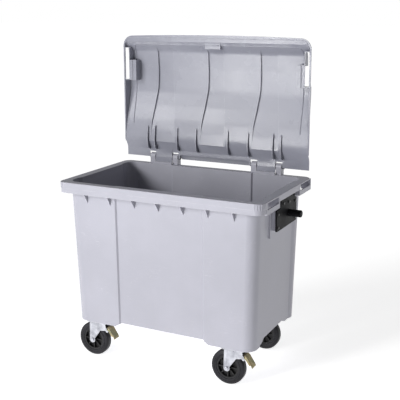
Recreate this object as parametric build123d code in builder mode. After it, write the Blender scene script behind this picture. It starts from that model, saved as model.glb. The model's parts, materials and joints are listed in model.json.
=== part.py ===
from build123d import *
import os
from math import cos, radians, sin, tan

# Four-wheeled refuse container of the 660 litre class, standing with its lid open.
# Millimetres, +X to the container's right, +Y to its back, +Z up. The tub is drawn about
# X = Y = 0 on the floor, and every finished piece is then moved so that the origin lies on
# the floor under the middle of the box round the open container.

# ---- rim ---------------------------------------------------------------------------------
RIM_WIDTH = 1260.0
RIM_DEPTH = 726.0
RIM_TOP = 1054.0
RIM_CORNER = 45.0
RIM_PLATE = 5.0  # thickness of the rim's top plate
RIM_BAND = 34.0  # height of the upper band round the rim
RIM_LOWER_BAND = 27.0  # height of the lower band, a step further in
RIM_STEP = 3.0
SKIRT = 5.0  # thickness of the lower band
FLUTES = 5  # upright grooves round each corner of the rim
FLUTE_RADIUS = 5.0
FLUTE_DEPTH = 2.4

# ---- tub ---------------------------------------------------------------------------------
WHEEL_RADIUS = 100.0
WHEEL_HEADROOM = 25.0  # from the top of a wheel to the pad that its castor bolts to
TUB_FOOT = 2 * WHEEL_RADIUS + WHEEL_HEADROOM
SKIN = 5.0  # tub wall
SIDE_OVERHANG = 42.0  # how far the rim stands out from the walls
FRONT_OVERHANG = 37.0
SIDE_DRAFT = 26.0  # how far each wall leans in from the rim to the foot
FRONT_DRAFT = 7.0
BACK_DRAFT = 23.0
SIDE_TOP = RIM_WIDTH / 2 - SIDE_OVERHANG
SIDE_FOOT = SIDE_TOP - SIDE_DRAFT
FRONT_TOP = RIM_DEPTH / 2 - FRONT_OVERHANG
FRONT_FOOT = FRONT_TOP - FRONT_DRAFT
BACK_TOP = FRONT_TOP
BACK_FOOT = BACK_TOP - BACK_DRAFT
COLUMN_CORNER = 62.0

# Places across the container, measured in from the rim's ends or out from the hinges.
HINGE_X = RIM_WIDTH / 2 - 282.0  # middle of each hinge
PANEL_HALF = HINGE_X - 83.0  # half-width of the sunk panels in the front and back walls
CASTOR_X = SIDE_FOOT - 123.0
CASTOR_FRONT_Y = 57.0 - FRONT_FOOT
CASTOR_BACK_Y = BACK_FOOT - 68.0

PANEL_SINK = 9.0
PANEL_SLOPE = 8.0
SIDE_SINK = 10.0
SIDE_SLOPE = 22.0
SIDE_PANEL_FRONT = 104.0 - FRONT_TOP
SIDE_PANEL_BACK = BACK_TOP - 94.0
STEP_BLEND = 5.0
PAD_LIFT = 22.0  # how far the underside rises between the pads
FLOOR_SKIN = 6.0
PAD_INNER = (CASTOR_X - 139.0, CASTOR_X - 177.0)  # where that rise starts and ends, across
PAD_FRONT = (CASTOR_FRONT_Y + 82.0, CASTOR_FRONT_Y + 117.0)  # the same at the front pads
PAD_BACK = (CASTOR_BACK_Y - 70.0, CASTOR_BACK_Y - 123.0)

GUSSETS_EACH_SIDE = 3
GUSSET_PITCH = (SIDE_TOP - 132.0) / GUSSETS_EACH_SIDE
GUSSET = 5.0  # thickness
GUSSET_DROP = 55.0  # how far a gusset runs down the wall below the rim

# Hand-hold lugs on the side rims: front and back ends of each.
LUG_FRONT = (59.0 - RIM_DEPTH / 2, 237.0 - RIM_DEPTH / 2)
LUG_BACK = (RIM_DEPTH / 2 - 193.0, RIM_DEPTH / 2 - 13.0)
LUG_WALL = 8.0
LUG_BELOW = 8.0  # how far a lug reaches below the lower band
WINDOW_MARGIN = 10.0
WINDOW_FLOOR = 26.0
WINDOW_TOP = 7.0

SIDE_RIB_Y = LUG_FRONT[1] - 8.0
SIDE_RIB_Z = (RIM_TOP - 242.0, RIM_TOP - 105.0)
SIDE_RIB_WIDTH = 7.0
SIDE_RIB_PROUD = 8.0

# ---- trunnions ---------------------------------------------------------------------------
TRUNNION_Y = 69.0
TRUNNION_Z = RIM_TOP - 144.0
TRUNNION_RADIUS = 20.0
TRUNNION_REACH = 75.0  # how far a trunnion stands out from its plate
TRUNNION_CHAMFER = 3.0
TRUNNION_STEM = 12.0
PLATE_FACE = SIDE_TOP + 17.0
PLATE = 9.0
PLATE_FRONT = LUG_FRONT[1] + 20.0
PLATE_BACK = LUG_BACK[0] + 18.0
PLATE_FOOT = ((PLATE_FRONT, RIM_TOP - 212), (PLATE_BACK - 4, RIM_TOP - 212))
PLATE_REAR = ((PLATE_BACK, RIM_TOP - 78), (PLATE_BACK - 28, RIM_TOP - 72))
PLATE_HEAD = ((PLATE_BACK - 31, RIM_TOP - 46), (PLATE_FRONT + 72, RIM_TOP - 46))
PLATE_STEP = ((PLATE_FRONT + 50, RIM_TOP - 94), (PLATE_FRONT, RIM_TOP - 97))
PLATE_OUTLINE = (*PLATE_FOOT, *PLATE_REAR, *PLATE_HEAD, *PLATE_STEP)
PLATE_CORNER = 6.0
PLATE_SCREWS = (
    (PLATE_FRONT + 18, RIM_TOP - 192),
    (PLATE_FRONT + 18, RIM_TOP - 118),
    (PLATE_BACK - 24, RIM_TOP - 192),
    (PLATE_BACK - 24, RIM_TOP - 96),
    (TRUNNION_Y, RIM_TOP - 82),
    (PLATE_FRONT + 96, RIM_TOP - 74),
)
SCREW_RADIUS = 4.0
SCREW_LENGTH = 24.0
SCREW_HEAD = 13.0  # across flats
SCREW_HEAD_HEIGHT = 5.5

# ---- hinges ------------------------------------------------------------------------------
HINGE_Y = RIM_DEPTH / 2 + 5.0
HINGE_Z = RIM_TOP + 42.0
ARM_INNER = 63.0  # from the hinge's middle to an arm's inner and outer faces
ARM_OUTER = 97.0
ARM_RADIUS = 22.0
PIN_RADIUS = 8.0
PIN_HEAD_RADIUS = 12.0
PIN_HEAD = 12.0
KNUCKLE_HALF = 58.0
KNUCKLE_RADIUS = 19.0
RUNNING_GAP = 0.08
STOP_WEB = (RIM_DEPTH / 2 - 33.0, RIM_DEPTH / 2 - 20.0)  # web that stops the open lid
STOP_WEB_HEIGHT = 13.0
OPEN_ANGLE = 91.0

# ---- lid, drawn closed: s forward from the hinge axis, h up from the seat -----------------
SEAT_GAP = 2.0
LID_SKIN = 4.0
LID_HALF = RIM_WIDTH / 2 - 10.0
LID_OVERLAP = 16.0  # how far the lid's lip passes the front of the rim
LID_FRONT = HINGE_Y + RIM_DEPTH / 2 + LID_OVERLAP
LID_BOW = 11.0
LID_CORNER = 64.0
LIP = 27.0  # width of the flat lip along the front
SIDE_LIP = 4.0
LIP_PLATE = 6.0
LID_TAPER = 10.0
LID_REAR = -4.0
# The dome falls from its crest to the foot of the slope, near the hinges.
CREST = LID_FRONT - 202.0
SLOPE_FOOT = 160.0
SLOPE = CREST - SLOPE_FOOT
DOME_FRONT = ((LID_FRONT - 28, 0), (LID_FRONT - 90, 52), (CREST, 60))
DOME_SLOPE = ((0.675, 57), (0.425, 38), (0.1875, 16), (0, 6))
BAND_FRONT = ((LID_FRONT - 34, 0), (LID_FRONT - 92, 60), (CREST, 70))
BAND_SLOPE = ((0.675, 67), (0.415, 47), (0.1775, 22), (0.0125, 8))
DOME_REAR = (100, 4)
DOME_LINE = (*DOME_FRONT, *((SLOPE_FOOT + share * SLOPE, h) for share, h in DOME_SLOPE), DOME_REAR)
BAND_LINE = (*BAND_FRONT, *((SLOPE_FOOT + share * SLOPE, h) for share, h in BAND_SLOPE), DOME_REAR)
DOME_RADII = (34, 220, 0.825 * SLOPE, 0.825 * SLOPE, 0.825 * SLOPE, SLOPE / 2)
BAND_HALF = 55.0  # raised bands: one in the middle and one over each hinge
SIDE_BAND = (HINGE_X - 60.0, HINGE_X + 56.0)
BAND_FLARE = 27.0  # how much wider the bands are on each side by the hinges
FLARE_SPAN = (SLOPE_FOOT + SLOPE / 6, SLOPE_FOOT + 3 * SLOPE / 4)
FLARE_RADIUS = 2 * SLOPE
REAR_EDGE = ((100, 0), (100, 4), (50, 28), (LID_REAR, 28), (LID_REAR, 24), (50, 24))
RIM_CLEAR = ((100, 0), (50, 24), (-20, 24))  # underside over the back rim
ROLL_HALF = HINGE_X - 112.0  # half-width of the rolled-up rear edge between the hinges
ROLL_FOOT = (22.0, 24.0)
ROLL_TOP = (-12.0, 54.0)
RIB_SPOTS = (107.0, HINGE_X - 109.0, HINGE_X + 50.0, HINGE_X + 101.0)
RIB = 4.0
RIB_LINE = ((206, 15), (186, -3), (112, -13), (60, -6), (42, 26), (52, 26), (100, 3), (160, 7))
GRIP_SLOT = (LID_FRONT - 269.0, LID_FRONT - 74.0)  # hand-hold in each side of the lid
GRIP_BAR = 12.0
GRIP_SLOT_WIDTH = 25.0
GRIP_POCKET = 46.0  # the deeper finger pocket behind it
GRIP_POCKET_END = LID_FRONT - 152.0
GRIP_FLOOR = 8.0
FRONT_GRIP_HALF = 50.0
FRONT_GRIP = (LID_FRONT - 66.0, LID_FRONT - 12.0)

# ---- castors -----------------------------------------------------------------------------
TRAIL = 42.0
TYRE_WIDTH = 48.0
TYRE_DEPTH = 36.0
TYRE_SHOULDER = 12.0
HUB_BORE = 9.0
HUB_BOSS = 19.0
HUB_RIBS = 8
AXLE_RADIUS = 6.0
TOP_PLATE = (138.0, 106.0, 4.0)
BOLT_SPACING = (105.0, 80.0)
BOLT_RADIUS = 5.0
BOLT_HEAD = 17.0
BOLT_HEAD_HEIGHT = 6.4
BOLT_GRIP = 20.0
RACE_RADIUS = 37.0
RACE_BORE = 20.0
RACE_HEIGHT = 7.7
RACE_GAP = 0.3
KINGPIN_RADIUS = 6.0
KINGPIN_HEAD = 12.0
KINGPIN_HEAD_HEIGHT = 3.0
FORK_SHEET = 3.0
FORK_INSIDE = TYRE_WIDTH / 2 + 6.0  # half the gap between the legs
HUB_HALF = FORK_INSIDE - 1.0
BUSH_HALF = FORK_INSIDE - 0.3
FORK_FRONT = 38.0  # how far the crown reaches ahead of the kingpin and behind it
FORK_BACK = 56.0
FORK_TIP = 18.0
FORK_BEAD = 5.0  # radius of the pressed stiffening bead down each leg
AXLE_HEAD = 19.0
AXLE_HEAD_HEIGHT = 7.5
NUT_HEIGHT = 10.0
THREAD_OUT = 3.0

# ---- wheel brakes on the front castors ---------------------------------------------------
BRAKE_X = WHEEL_RADIUS - 48.0  # pivot, from the kingpin
BRAKE_Z = WHEEL_RADIUS + 80.0
BRAKE_EAR = 9.0
BRAKE_PIN = 4.0
PEDAL_SHEET = 3.0
PEDAL_HALF = FORK_INSIDE - PEDAL_SHEET - 2.0
PEDAL_TOP = ((-4, 9), (10, 9), (22, 0), (50, -42), (56, -57))
PEDAL_UNDER = ((53, -58), (47, -43), (20, -3), (9, 6), (-4, 6))
PEDAL_CHEEK = ((-9, 7), (10, 7), (21, -2), (47, -41), (38, -45), (12, -10), (-9, -8))
SHOE_HALF = TYRE_WIDTH / 2 - 6.0
SHOE_GAP = 4.0
SHOE_LINE = ((-8, 6), (8, 6), (8, -20), (4, -26), (-8, -26), (-18, -10))

PIECES = {}


def at_height(foot, top, z):
    """Straight draft of a wall between the foot of the tub and its rim."""
    return foot + (top - foot) * (z - TUB_FOOT) / (RIM_TOP - TUB_FOOT)


def tub_outline(z, skin):
    """Tub's outline at height z, a skin's thickness inside the outer face."""
    side = at_height(SIDE_FOOT, SIDE_TOP, z) - skin
    front = skin - at_height(FRONT_FOOT, FRONT_TOP, z)
    back = at_height(BACK_FOOT, BACK_TOP, z) - skin
    inner = PANEL_HALF + skin / 2
    outer = inner + PANEL_SLOPE
    start = SIDE_PANEL_FRONT - skin / 2
    end = SIDE_PANEL_BACK + skin / 2
    sunk = side - SIDE_SINK
    right = [
        (inner, front + PANEL_SINK),
        (outer, front),
        (side, front),
        (side, start),
        (sunk, start + SIDE_SLOPE),
        (sunk, end - SIDE_SLOPE),
        (side, end),
        (side, back),
        (outer, back),
        (inner, back - PANEL_SINK),
    ]
    corner = COLUMN_CORNER - skin
    right_radii = [STEP_BLEND, STEP_BLEND, corner, STEP_BLEND, STEP_BLEND]
    radii = right_radii + right_radii[::-1]
    left = [(-x, y) for x, y in reversed(right)]
    with BuildSketch(Plane.XY.offset(z)) as outline:
        with BuildLine():
            FilletPolyline(*right, *left, radius=radii + radii, close=True)
        make_face()
    return outline.sketch


def rounded_block(width, depth, corner, low, high):
    """Upright block with rounded corners, centred on the origin."""
    with BuildPart() as block:
        with BuildSketch(Plane.XY.offset(low)):
            RectangleRounded(width, depth, corner)
        extrude(amount=high - low)
    return block.part


def box_between(low, high):
    """Box from its lowest corner to its highest."""
    size = [b - a for a, b in zip(low, high)]
    middle = [(a + b) / 2 for a, b in zip(low, high)]
    with BuildPart() as box:
        with Locations(tuple(middle)):
            Box(*size)
    return box.part


def slab(points, x_low, x_high):
    """Plate with an outline of (y, z) points, between two values of x."""
    with BuildPart() as plate:
        with BuildSketch(Plane.YZ.offset(x_low)):
            Polygon(*points, align=None)
        extrude(amount=x_high - x_low)
    return plate.part


def cross_bar(y, z, radius, x_low, x_high):
    """Round bar along X."""
    with BuildPart() as bar:
        with BuildSketch(Plane.YZ.offset(x_low)):
            with Locations((y, z)):
                Circle(radius)
        extrude(amount=x_high - x_low)
    return bar.part


def hex_head(plane, flats, height):
    """Hexagonal head on a plane, rising along its normal."""
    with BuildPart() as head:
        with BuildSketch(plane):
            RegularPolygon(flats / 2, 6, major_radius=False)
        extrude(amount=height)
    return head.part


def make_rim():
    """Turned-out rim: top plate, upper band and a lower band one step further in."""
    band_foot = RIM_TOP - RIM_BAND
    skirt_foot = band_foot - RIM_LOWER_BAND
    inset = 2 * RIM_STEP
    hollow = inset + 2 * SKIRT
    with BuildPart() as rim:
        add(rounded_block(RIM_WIDTH, RIM_DEPTH, RIM_CORNER, band_foot, RIM_TOP))
        fillet(rim.edges().group_by(Axis.Z)[-1], RIM_STEP)
        lower_corner = RIM_CORNER - RIM_STEP
        add(rounded_block(RIM_WIDTH - inset, RIM_DEPTH - inset, lower_corner, skirt_foot, band_foot))
        size = (RIM_WIDTH - hollow, RIM_DEPTH - hollow, RIM_CORNER - hollow / 2)
        add(rounded_block(*size, skirt_foot, RIM_TOP - RIM_PLATE), mode=Mode.SUBTRACT)
        for side in (-1, 1):
            middle = side * RIM_WIDTH / 2
            low = (middle - 2 * SKIRT - RIM_STEP, LUG_FRONT[1], skirt_foot)
            high = (middle + 2 * SKIRT, LUG_BACK[0], band_foot)
            add(box_between(low, high), mode=Mode.SUBTRACT)
        reach = RIM_CORNER + FLUTE_RADIUS - FLUTE_DEPTH
        with BuildSketch(Plane.XY.offset(skirt_foot)):
            for x_side in (-1, 1):
                for y_side in (-1, 1):
                    x_middle = x_side * (RIM_WIDTH / 2 - RIM_CORNER)
                    y_middle = y_side * (RIM_DEPTH / 2 - RIM_CORNER)
                    for step in range(FLUTES):
                        turn = radians(90 * (step + 0.5) / FLUTES)
                        spot = (x_middle + x_side * reach * cos(turn), y_middle + y_side * reach * sin(turn))
                        with Locations(spot):
                            Circle(FLUTE_RADIUS)
        extrude(amount=RIM_BAND + RIM_LOWER_BAND - RIM_STEP, mode=Mode.SUBTRACT)
    return rim.part


def make_gusset(x, outward):
    """Triangular gusset from the rim's skirt down to the wall, at the front (-1) or back (1)."""
    skirt_foot = RIM_TOP - RIM_BAND - RIM_LOWER_BAND
    outer = outward * (RIM_DEPTH / 2 - RIM_STEP - SKIRT / 2)
    sink = PANEL_SINK if abs(x) < PANEL_HALF else 0
    wall = outward * (at_height(FRONT_FOOT, FRONT_TOP, skirt_foot) - sink - SKIN)
    points = [
        (outer, RIM_TOP - RIM_PLATE),
        (outer, skirt_foot + 2),
        (wall + outward * SKIN, skirt_foot - GUSSET_DROP),
        (wall, skirt_foot - GUSSET_DROP),
        (wall, RIM_TOP - RIM_PLATE),
    ]
    return slab(points, x - GUSSET / 2, x + GUSSET / 2)


def make_lug(side, ends):
    """Open-bottomed box on a side rim with a window through its outer wall."""
    foot = RIM_TOP - RIM_BAND - RIM_LOWER_BAND - LUG_BELOW
    wall = SIDE_TOP - SIDE_SINK - SKIN
    face = RIM_WIDTH / 2
    ceiling = RIM_TOP - RIM_PLATE
    window = (foot + WINDOW_FLOOR, RIM_TOP - WINDOW_TOP)
    with BuildPart() as lug:
        add(box_between((wall, ends[0], foot), (face, ends[1], ceiling)))
        low = (wall - SKIN, ends[0] + LUG_WALL, foot - SKIN)
        high = (face - LUG_WALL, ends[1] - LUG_WALL, ceiling)
        add(box_between(low, high), mode=Mode.SUBTRACT)
        low = (face - 2 * LUG_WALL, ends[0] + WINDOW_MARGIN, window[0])
        high = (face + LUG_WALL, ends[1] - WINDOW_MARGIN, window[1])
        add(box_between(low, high), mode=Mode.SUBTRACT)
    if side > 0:
        return lug.part
    return mirror(lug.part, about=Plane.YZ)


def window_cut(side, ends):
    """Clears the rim's own band from a lug's window."""
    foot = RIM_TOP - RIM_BAND - RIM_LOWER_BAND - LUG_BELOW + WINDOW_FLOOR
    inner = side * (RIM_WIDTH / 2 - 2 * LUG_WALL)
    outer = side * (RIM_WIDTH / 2 + LUG_WALL)
    low = (min(inner, outer), ends[0] + WINDOW_MARGIN, foot)
    high = (max(inner, outer), ends[1] - WINDOW_MARGIN, RIM_TOP - WINDOW_TOP)
    return box_between(low, high)


def make_arm(x_low, x_high):
    """Hinge arm of the tub: a bracket up the back wall to an eye round the hinge axis."""
    wall = at_height(BACK_FOOT, BACK_TOP, RIM_TOP - 2 * RIM_BAND) - PANEL_SINK - SKIN
    band_foot = RIM_TOP - RIM_BAND
    outline = [
        (HINGE_Y - ARM_RADIUS, band_foot),
        (HINGE_Y - ARM_RADIUS, HINGE_Z),
        (HINGE_Y + ARM_RADIUS, HINGE_Z),
        (HINGE_Y + ARM_RADIUS, band_foot),
        (RIM_DEPTH / 2 - RIM_STEP, band_foot - RIM_BAND),
        (wall + SKIN, band_foot - 3 * RIM_BAND),
        (wall, band_foot - 3 * RIM_BAND),
        (wall, band_foot),
    ]
    with BuildPart() as arm:
        add(slab(outline, x_low, x_high))
        add(cross_bar(HINGE_Y, HINGE_Z, ARM_RADIUS, x_low, x_high))
        add(cross_bar(HINGE_Y, HINGE_Z, PIN_RADIUS, x_low, x_high), mode=Mode.SUBTRACT)
    return arm.part


def castor_spots():
    """Name and kingpin position of each castor."""
    spots = []
    for row, y in (("front", CASTOR_FRONT_Y), ("back", CASTOR_BACK_Y)):
        for end, x in (("left", -CASTOR_X), ("right", CASTOR_X)):
            spots.append((row + "_" + end, x, y))
    return spots


def bolt_spots(x, y):
    """The four bolts of the castor whose kingpin is at x, y."""
    across, along = BOLT_SPACING
    return [(x + i * across / 2, y + j * along / 2) for i in (-1, 1) for j in (-1, 1)]


def plate_outline(side, x_low, x_high, trim):
    """Trunnion plate's outline between two distances from the middle, trimmed all round."""
    start = min(side * x_low, side * x_high)
    with BuildPart() as plate:
        with BuildSketch(Plane.YZ.offset(start)) as outline:
            Polygon(*PLATE_OUTLINE, align=None)
            fillet(outline.vertices(), PLATE_CORNER)
            if trim:
                offset(amount=-trim)
        extrude(amount=x_high - x_low)
    return plate.part


def make_tub():
    floor_top = TUB_FOOT + PAD_LIFT + FLOOR_SKIN
    with BuildPart() as tub:
        loft(sections=[tub_outline(TUB_FOOT, 0), tub_outline(RIM_TOP, 0)], ruled=True)
        half = RIM_WIDTH / 2
        lift = TUB_FOOT + PAD_LIFT
        under = TUB_FOOT - PAD_LIFT
        outer, inner = PAD_INNER
        slope = (outer - inner) / PAD_LIFT
        far = outer + slope * PAD_LIFT
        with BuildSketch(Plane.XZ.offset(-half)):
            Polygon((-far, under), (-inner, lift), (inner, lift), (far, under), align=None)
        extrude(amount=2 * half, mode=Mode.SUBTRACT)
        front = 2 * PAD_FRONT[0] - PAD_FRONT[1]
        back = 2 * PAD_BACK[0] - PAD_BACK[1]
        across = [(front, under), (PAD_FRONT[1], lift), (PAD_BACK[1], lift), (back, under)]
        add(slab(across, -half, half), mode=Mode.SUBTRACT)
        add(make_rim())
        for step in range(-GUSSETS_EACH_SIDE, GUSSETS_EACH_SIDE + 1):
            add(make_gusset(step * GUSSET_PITCH, -1))
        for step in (-1, 0, 1):
            add(make_gusset(step * GUSSET_PITCH, 1))
        for side in (-1, 1):
            for ends in (LUG_FRONT, LUG_BACK):
                add(make_lug(side, ends))
            boss_face = PLATE_FACE - PLATE
            boss_root = SIDE_FOOT - SIDE_SINK - SKIN
            add(plate_outline(side, boss_root, boss_face, SKIN))
            hinge = side * HINGE_X
            add(make_arm(hinge - ARM_OUTER, hinge - ARM_INNER))
            add(make_arm(hinge + ARM_INNER, hinge + ARM_OUTER))
            low = (hinge - ARM_INNER, STOP_WEB[0], RIM_TOP - RIM_PLATE)
            high = (hinge + ARM_INNER, STOP_WEB[1], RIM_TOP + STOP_WEB_HEIGHT)
            add(box_between(low, high))
            wall = at_height(SIDE_FOOT, SIDE_TOP, sum(SIDE_RIB_Z) / 2) - SIDE_SINK
            edges = sorted((side * (wall - SKIN / 2), side * (wall + SIDE_RIB_PROUD)))
            low = (edges[0], SIDE_RIB_Y - SIDE_RIB_WIDTH / 2, SIDE_RIB_Z[0])
            high = (edges[1], SIDE_RIB_Y + SIDE_RIB_WIDTH / 2, SIDE_RIB_Z[1])
            add(box_between(low, high))
        cavity = [tub_outline(floor_top, SKIN), tub_outline(RIM_TOP, SKIN)]
        loft(sections=cavity, ruled=True, mode=Mode.SUBTRACT)
        for side in (-1, 1):
            for ends in (LUG_FRONT, LUG_BACK):
                add(window_cut(side, ends), mode=Mode.SUBTRACT)
            start = side * (PLATE_FACE - PLATE)
            depth = SCREW_LENGTH - PLATE
            for y, z in PLATE_SCREWS:
                hole = sorted((start, start - side * depth))
                add(cross_bar(y, z, SCREW_RADIUS, *hole), mode=Mode.SUBTRACT)
        with BuildSketch(Plane.XY.offset(TUB_FOOT)):
            for name, x, y in castor_spots():
                with Locations(*bolt_spots(x, y)):
                    Circle(BOLT_RADIUS)
        extrude(amount=BOLT_GRIP, mode=Mode.SUBTRACT)
    return tub.part


def make_trunnion_plate(side):
    """Plate screwed to the side wall, with the hole that the trunnion's stem fills."""
    face = side * PLATE_FACE
    seat = side * (PLATE_FACE - PLATE)
    with BuildPart() as plate:
        add(plate_outline(side, PLATE_FACE - PLATE, PLATE_FACE, 0))
        span = sorted((face, seat))
        add(cross_bar(TRUNNION_Y, TRUNNION_Z, TRUNNION_STEM, *span), mode=Mode.SUBTRACT)
        for y, z in PLATE_SCREWS:
            add(cross_bar(y, z, SCREW_RADIUS, *span), mode=Mode.SUBTRACT)
    return plate.part


def make_trunnion_pin(side):
    """Lifting trunnion: a stub with a chamfered tip and a stem through the plate."""
    start = Plane((side * (PLATE_FACE - PLATE), TRUNNION_Y, TRUNNION_Z), z_dir=(side, 0, 0))
    with BuildPart() as pin:
        with BuildSketch(start):
            Circle(TRUNNION_STEM)
        extrude(amount=PLATE)
        with BuildSketch(start.offset(PLATE)):
            Circle(TRUNNION_RADIUS)
        extrude(amount=TRUNNION_REACH)
        tip = pin.faces().sort_by(Axis.X)[-1 if side > 0 else 0]
        chamfer(tip.edges(), TRUNNION_CHAMFER)
    return pin.part


def make_plate_screws(side):
    """Hexagon-head screws of one trunnion plate, one solid each."""
    with BuildPart() as screws:
        for y, z in PLATE_SCREWS:
            face = Plane((side * PLATE_FACE, y, z), z_dir=(side, 0, 0))
            add(hex_head(face, SCREW_HEAD, SCREW_HEAD_HEIGHT))
            with BuildSketch(face):
                Circle(SCREW_RADIUS)
            extrude(amount=-SCREW_LENGTH)
    return screws.part


def make_hinge_pin(side):
    """Long pin through both arms and the lid's knuckle, with a head on the outboard end."""
    inboard = side * (HINGE_X - ARM_OUTER)
    outboard = side * (HINGE_X + ARM_OUTER)
    with BuildPart() as pin:
        add(cross_bar(HINGE_Y, HINGE_Z, PIN_RADIUS, *sorted((inboard - side * PIN_HEAD / 2, outboard))))
        add(cross_bar(HINGE_Y, HINGE_Z, PIN_HEAD_RADIUS, *sorted((outboard, outboard + side * PIN_HEAD))))
    return pin.part


def make_hinge_cap(side):
    """Push-on cap that keeps the pin in, on the inboard end."""
    face = side * (HINGE_X - ARM_OUTER)
    with BuildPart() as cap:
        add(cross_bar(HINGE_Y, HINGE_Z, PIN_HEAD_RADIUS, *sorted((face, face - side * PIN_HEAD))))
        socket = sorted((face, face - side * PIN_HEAD / 2))
        add(cross_bar(HINGE_Y, HINGE_Z, PIN_RADIUS, *socket), mode=Mode.SUBTRACT)
    return cap.part


def on_lid(points):
    """Closed-lid points (s, h) as (y, z) of the tub's frame."""
    seat = RIM_TOP + SEAT_GAP
    return [(HINGE_Y - s, seat + h) for s, h in points]


def lid_plan(half, rear, front, corner, lift=0.0):
    """Plan of the lid: straight back and sides, rounded front corners and a bowed front."""
    y_front = HINGE_Y - front
    with BuildSketch(Plane.XY.offset(RIM_TOP + SEAT_GAP + lift)) as plan:
        with BuildLine():
            Polyline((-half, y_front), (-half, HINGE_Y - rear), (half, HINGE_Y - rear), (half, y_front))
            ThreePointArc((half, y_front), (0, y_front - LID_BOW), (-half, y_front))
        make_face()
        fillet(plan.vertices().group_by(Axis.Y)[0], corner)
    return plan.sketch


def profile_prism(line, radii, x_low, x_high):
    """Solid under a rounded line of (s, h) points, down to the seat, between two values of x."""
    points = on_lid(line)
    with BuildPart() as prism:
        with BuildSketch(Plane.YZ.offset(x_low)):
            with BuildLine():
                FilletPolyline(*points, radius=radii)
                base = RIM_TOP - LID_SKIN
                Polyline(points[-1], (points[-1][0], base), (points[0][0], base), points[0])
            make_face()
        extrude(amount=x_high - x_low)
    return prism.part


def inside(line):
    """The same line one lid skin further in: lower, and back from the front wall."""
    foot = (line[0][0] - LID_SKIN, line[0][1])
    shoulder = (line[1][0] - LID_SKIN / 2, line[1][1] - LID_SKIN)
    return [foot, shoulder, *[(s, h - LID_SKIN) for s, h in line[2:]]]


def dome_core(line, radii, half, x_low, x_high):
    """Dome under a profile, its sides leaning inwards from its plan."""
    front = LID_FRONT - LIP
    rear = LID_REAR - 2 * LIP
    corner = LID_CORNER - LIP
    lift = line[2][1] + LIP
    lean = lift * tan(radians(LID_TAPER))
    foot = lid_plan(half, rear, front, corner)
    top = lid_plan(half - lean, rear, front - lean, corner - lean / 2, lift)
    with BuildPart() as core:
        loft(sections=[foot, top], ruled=True)
        add(profile_prism(line, radii, x_low, x_high), mode=Mode.INTERSECT)
    return core.part


def grip_recess(side, grow):
    """Recess behind a side hand-hold; grow is the skin left round it."""
    seat = RIM_TOP + SEAT_GAP
    edge = LID_HALF + SKIN
    wall = LID_HALF - GRIP_BAR - GRIP_SLOT_WIDTH - grow
    pocket = wall - GRIP_POCKET
    top = seat + 2 * LID_CORNER
    y_back = HINGE_Y - GRIP_SLOT[0] + grow
    y_front = HINGE_Y - GRIP_SLOT[1] - grow
    y_pocket = HINGE_Y - GRIP_POCKET_END - grow
    with BuildPart() as recess:
        add(box_between((wall, y_front, seat + LIP_PLATE - grow / 2), (edge, y_back, top)))
        add(box_between((pocket, y_pocket, seat + GRIP_FLOOR - grow), (edge, y_back, top)))
    if side > 0:
        return recess.part
    return mirror(recess.part, about=Plane.YZ)


def front_recess(grow):
    """Recess behind the hand-hold in the middle of the lid's front."""
    seat = RIM_TOP + SEAT_GAP
    half = FRONT_GRIP_HALF - LID_SKIN + grow
    y_back = HINGE_Y - FRONT_GRIP[0] + grow
    y_front = HINGE_Y - FRONT_GRIP[1] - grow
    low = (-half, y_front, seat + GRIP_FLOOR - grow)
    return box_between(low, (half, y_back, seat + 2 * LID_CORNER))


def band_spans():
    """Left and right edges of the raised bands."""
    near, far = SIDE_BAND
    return [(-far, -near), (-BAND_HALF, BAND_HALF), (near, far)]


def band_prism(low, high, grow):
    """Upright prism over a band's plan, whose edges spread towards the hinges."""
    near, far = [HINGE_Y - s for s in FLARE_SPAN]
    front = HINGE_Y - LID_FRONT
    back = HINGE_Y - LID_REAR
    edges = []
    for edge, outward in ((low + grow, -1), (high - grow, 1)):
        wide = edge + outward * BAND_FLARE
        edges.append([(edge, front), (edge, far), (wide, near), (wide, back)])
    with BuildPart() as prism:
        with BuildSketch(Plane.XY.offset(RIM_TOP - LID_SKIN)):
            with BuildLine():
                FilletPolyline(*edges[0], radius=FLARE_RADIUS)
                FilletPolyline(*edges[1], radius=FLARE_RADIUS)
                Line(edges[0][0], edges[1][0])
                Line(edges[0][-1], edges[1][-1])
            make_face()
        extrude(amount=LID_CORNER + BAND_FRONT[2][1])
    return prism.part


def band_core(line, half, low, high, grow):
    """One raised band of the dome."""
    with BuildPart() as core:
        add(dome_core(line, DOME_RADII, half, low - BAND_FLARE, high + BAND_FLARE))
        add(band_prism(low, high, grow), mode=Mode.INTERSECT)
    return core.part


def dome_shell(half, line_change, grow):
    """Dome with its raised bands, less the hand-hold recesses."""
    with BuildPart() as dome:
        add(dome_core(line_change(DOME_LINE), DOME_RADII, half, -LID_HALF, LID_HALF))
        for low, high in band_spans():
            add(band_core(line_change(BAND_LINE), half, low, high, grow))
        for side in (-1, 1):
            add(grip_recess(side, grow), mode=Mode.SUBTRACT)
        add(front_recess(grow), mode=Mode.SUBTRACT)
    return dome.part


def rear_roll():
    """Rear edge between the hinges, rolled up clear of the tub's rim."""
    foot_s, foot_h = ROLL_FOOT
    top_s, top_h = ROLL_TOP
    points = [
        (foot_s + LID_SKIN, foot_h),
        (foot_s, foot_h),
        (top_s, top_h),
        (top_s, top_h + LID_SKIN),
        (top_s + LID_SKIN, top_h + LID_SKIN),
        (foot_s + LID_SKIN, foot_h + LID_SKIN),
    ]
    return slab(on_lid(points), -ROLL_HALF, ROLL_HALF)


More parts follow.
